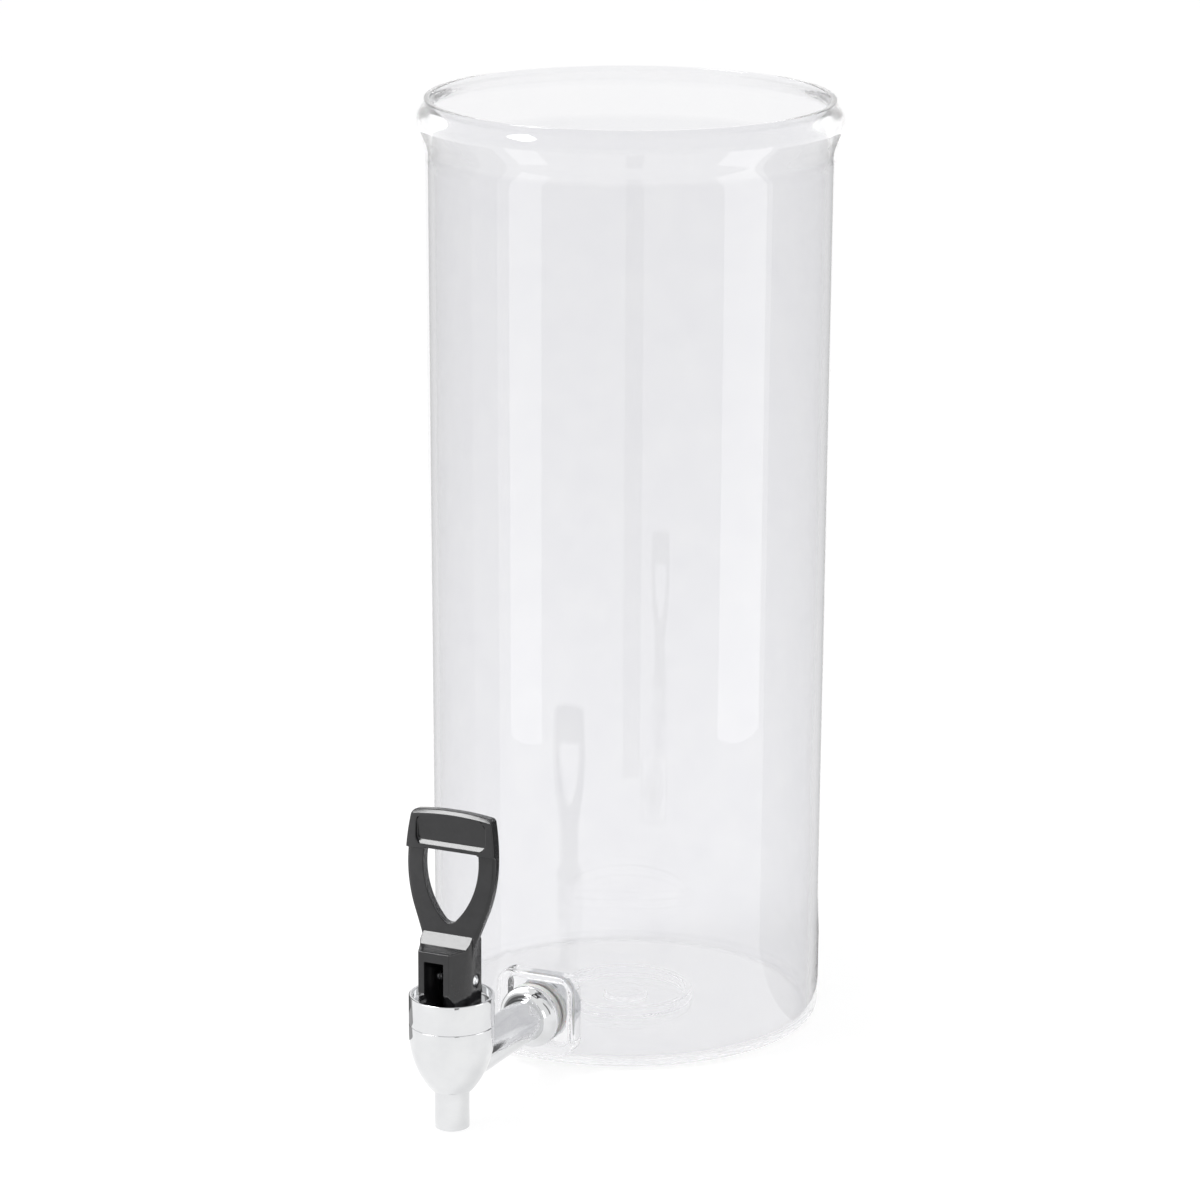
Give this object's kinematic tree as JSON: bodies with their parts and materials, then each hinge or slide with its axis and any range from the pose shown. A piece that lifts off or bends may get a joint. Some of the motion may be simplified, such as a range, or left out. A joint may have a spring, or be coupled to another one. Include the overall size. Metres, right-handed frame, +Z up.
{
  "type": "juice dispenser",
  "caption": "Clear open-topped cylindrical drink dispenser with a swollen rim and a self-closing chrome tap worked by a black lever grip.",
  "frame": {"origin": "middle of the vessel's flat underside, on the vessel's axis", "axes": "+Z up along the vessel's axis; the tap points along -Y; +X is to the right when facing the tap"},
  "size_m": [0.1834, 0.2795, 0.41],
  "materials": {
    "clear_plastic": "clear, polished moulding",
    "chrome": "bright plated",
    "black_plastic": "semi-gloss moulding",
    "stem_plastic": "plain moulding",
    "white_silicone": "soft, satin",
    "gasket_silicone": "soft, satin",
    "steel": "plain turned"
  },
  "bodies": {
    "dispenser": {"vessel": "clear_plastic", "tap_body": "chrome", "bonnet": "chrome", "outer_gasket": "gasket_silicone", "inner_gasket": "gasket_silicone", "flat_washer": "steel", "shank_nut": "steel", "spring": "steel"},
    "valve": {"seat_cup": "white_silicone"},
    "stem": {"valve_stem": "stem_plastic", "handle_pin": "steel"},
    "lever": {"handle": "black_plastic"}
  },
  "joints": [
    {"name": "stem_lift", "type": "slide", "parent": "dispenser", "child": "valve", "axis": [0, 0, 1], "range_m": [0, 0.0042], "stiffness_N_per_m": 0.026, "springref_m": 10.033, "deforming": ["spring", "seat_cup"]},
    {"name": "handle_swivel", "type": "hinge", "parent": "valve", "child": "stem", "pos_m": [0, -0.16993, 0.05], "axis": [0, 0, 1], "continuous": true},
    {"name": "lever_tilt", "type": "hinge", "parent": "stem", "child": "lever", "pos_m": [0, -0.16993, 0.0661], "axis": [1, 0, 0], "range_deg": [0, 25], "stiffness_Nm_per_rad": 0.126, "springref_deg": -50.02}
  ],
  "couplings": [
    {"joint": "stem_lift", "follows": "lever_tilt", "m_per_rad": 0.009167}
  ]
}
